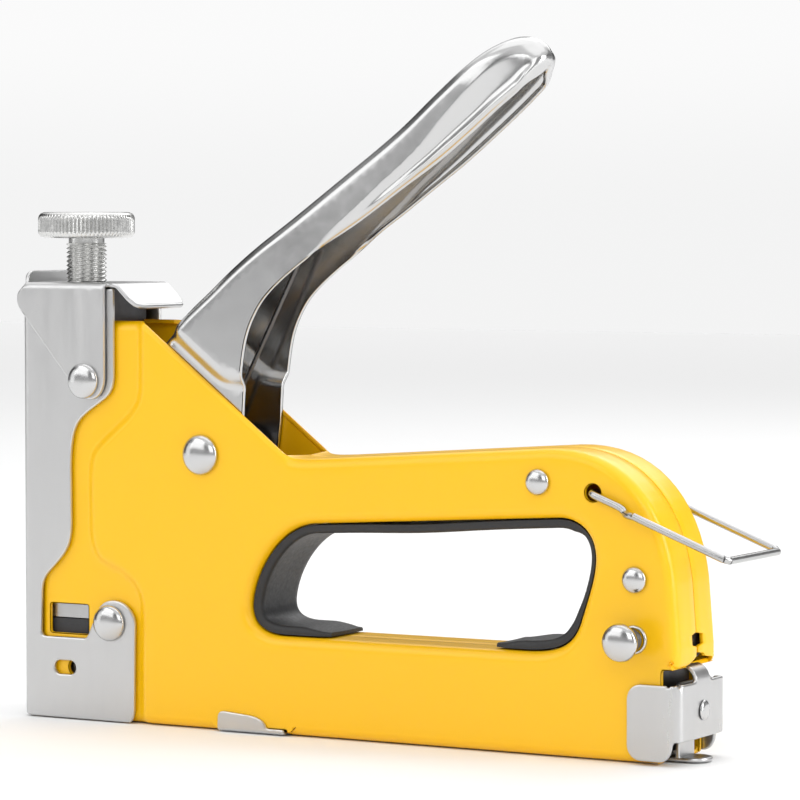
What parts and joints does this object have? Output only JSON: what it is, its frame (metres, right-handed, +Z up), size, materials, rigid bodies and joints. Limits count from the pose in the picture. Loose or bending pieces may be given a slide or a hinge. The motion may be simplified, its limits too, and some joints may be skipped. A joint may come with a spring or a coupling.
{
  "type": "hand staple gun",
  "caption": "Squeeze-lever hand staple gun with pressed metal shells, steel nose, spring load knob, rubber-lined hand opening, rear magazine latch and wire lever lock.",
  "frame": {"origin": "the point of the sole under the nose where the driver blade leaves, on the middle plane", "axes": "+X from the nose to the rear, +Y to the side away from the button, +Z up; the tool stands on Z = 0"},
  "size_m": [0.2077, 0.0381, 0.1763],
  "materials": {
    "shell_paint": "smooth glossy yellow enamel on pressed steel",
    "nose_nickel": "satin nickel plate on folded steel sheet",
    "dark_steel": "oiled dark steel",
    "rivet_nickel": "bright nickel plated domes",
    "screw_zinc": "bright zinc plated steel",
    "spring_steel": "drawn spring wire",
    "blade_steel": "ground hardened steel",
    "bumper_rubber": "matt black rubber",
    "lever_chrome": "bright plated pressed steel",
    "grip_rubber": "soft dark grey rubber lining",
    "magazine_zinc": "zinc plated sheet steel",
    "latch_nickel": "satin nickel plated sheet steel",
    "staple_steel": "galvanised wire strip",
    "wire_chrome": "bright plated round wire"
  },
  "bodies": {
    "frame": {"left_shell": "shell_paint", "right_shell": "shell_paint", "nose_sheath": "nose_nickel", "top_bracket": "nose_nickel", "nut_plate": "dark_steel", "bracket_rivet_left": "rivet_nickel", "bracket_rivet_right": "rivet_nickel", "rubber_bumper": "bumper_rubber", "bumper_plate": "dark_steel", "lever_pivot_rivet": "rivet_nickel", "lower_rivet": "rivet_nickel", "handle_rivet_front": "rivet_nickel", "handle_rivet_rear": "rivet_nickel", "spacer_front": "screw_zinc", "spacer_rear": "screw_zinc", "grip_insert": "grip_rubber", "magazine_channel": "magazine_zinc", "magazine_clip": "latch_nickel", "magazine_rail": "magazine_zinc", "staple_strip": "staple_steel", "catch_plate": "latch_nickel", "button_rim": "rivet_nickel", "main_spring": "spring_steel", "button_spring": "spring_steel"},
    "lever_body": {"lever": "lever_chrome", "lever_arm": "dark_steel", "return_spring": "spring_steel"},
    "hammer_body": {"hammer": "blade_steel", "driver_blade": "blade_steel"},
    "seat_body": {"spring_seat": "dark_steel"},
    "screw_body": {"tension_screw": "screw_zinc", "tension_knob": "screw_zinc"},
    "latch_body": {"rear_latch": "latch_nickel", "latch_rivet": "rivet_nickel", "end_plate": "latch_nickel", "pusher_rod": "magazine_zinc", "pusher_spring": "spring_steel"},
    "pusher_body": {"pusher": "magazine_zinc"},
    "button_body": {"side_button": "rivet_nickel"},
    "bail_body": {"wire_bail": "wire_chrome"}
  },
  "joints": [
    {"name": "lever_squeeze", "type": "hinge", "parent": "frame", "child": "lever_body", "pos_m": [0.0533, 0, 0.0707], "axis": [0, 1, 0], "range_deg": [0, 40], "stiffness_Nm_per_rad": 0.6, "springref_deg": -17.19},
    {"name": "hammer_lift", "type": "slide", "parent": "frame", "child": "hammer_body", "axis": [0, 0, 1], "range_m": [0, 0.0178], "deforming": ["main_spring"]},
    {"name": "seat_advance", "type": "slide", "parent": "frame", "child": "seat_body", "axis": [0, 0, 1], "range_m": [-0.0033, 0.00165], "deforming": ["main_spring"]},
    {"name": "knob_turn", "type": "hinge", "parent": "seat_body", "child": "screw_body", "pos_m": [0.0103, 0, 0.12], "axis": [0, 0, 1], "range_deg": [-1085, 545]},
    {"name": "latch_pull", "type": "slide", "parent": "frame", "child": "latch_body", "axis": [1, 0, 0], "range_m": [0, 0.1]},
    {"name": "pusher_travel", "type": "slide", "parent": "latch_body", "child": "pusher_body", "axis": [1, 0, 0], "range_m": [0, 0.012], "stiffness_N_per_m": 20, "springref_m": -0.05, "deforming": ["pusher_spring"]},
    {"name": "button_press", "type": "slide", "parent": "frame", "child": "button_body", "axis": [0, 1, 0], "range_m": [0, 0.003], "stiffness_N_per_m": 300, "springref_m": -0.002, "deforming": ["button_spring"]},
    {"name": "bail_swing", "type": "hinge", "parent": "frame", "child": "bail_body", "pos_m": [0.1656, 0, 0.065], "axis": [0, 1, 0], "range_deg": [-75, 30]}
  ],
  "couplings": [
    {"joint": "hammer_lift", "follows": "lever_squeeze", "m_per_rad": 0.02454},
    {"joint": "knob_turn", "follows": "seat_advance", "rad_per_m": 5712}
  ]
}
